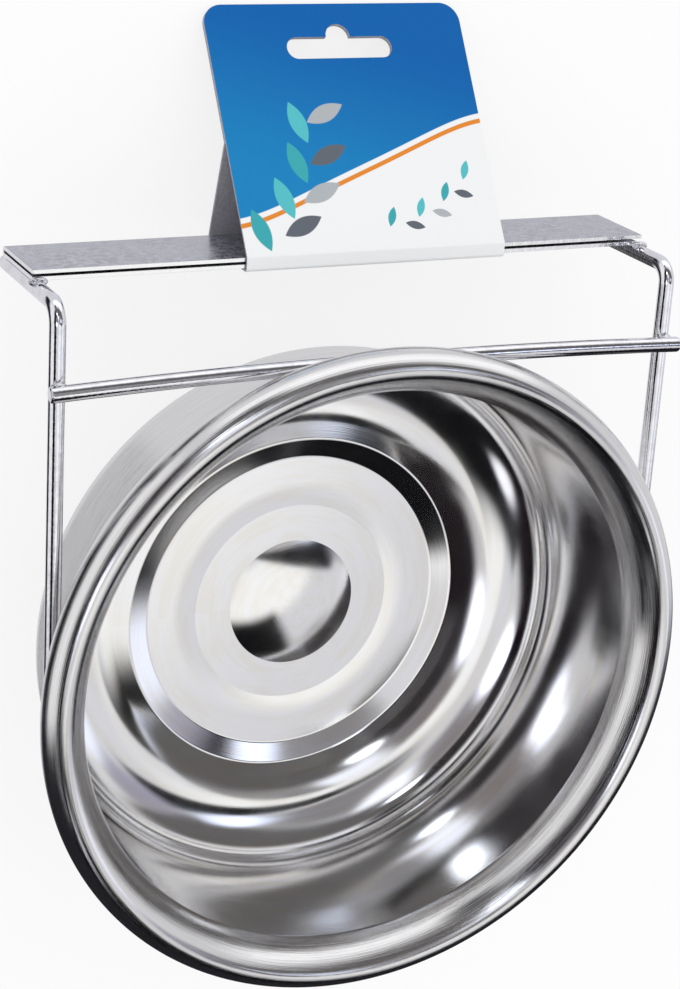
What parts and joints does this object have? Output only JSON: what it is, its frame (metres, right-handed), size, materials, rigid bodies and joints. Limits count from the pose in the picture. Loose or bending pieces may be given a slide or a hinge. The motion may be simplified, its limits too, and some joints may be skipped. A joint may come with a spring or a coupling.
{
  "type": "seed cup",
  "caption": "Round stainless seed cup that lifts out of a wire holder, which hooks over a cage wire by two arms and a flat plate; a folded header card hangs on the plate.",
  "frame": {"origin": "centre of the cup's foot, on its underside", "axes": "+Z out of the cup's mouth, +Y from the cup towards the hanger plate, +X along the hanger plate"},
  "size_m": [0.08, 0.113, 0.0307],
  "materials": {
    "cup_steel": "polished inside, fine brushed grain on the rim and outside",
    "wire_chrome": "bright chrome plate",
    "weld_metal": "plated over, slightly rough",
    "plate_steel": "dull plated sheet with bright edges",
    "printed_card": "coated card, printed blue over white"
  },
  "bodies": {
    "holder": {"wire_loop": "wire_chrome", "crossbar": "wire_chrome", "crossbar_welds": "weld_metal", "hanger_plate": "plate_steel", "plate_welds": "weld_metal"},
    "cup": {"cup": "cup_steel"},
    "card": {"header_card": "printed_card"}
  },
  "joints": [
    {"name": "cup_lift", "type": "slide", "parent": "holder", "child": "cup", "axis": [0, 0, 1], "range_m": [0, 0.03]},
    {"name": "card_slide", "type": "slide", "parent": "holder", "child": "card", "axis": [1, 0, 0], "range_m": [-0.0215, 0.0165]}
  ]
}
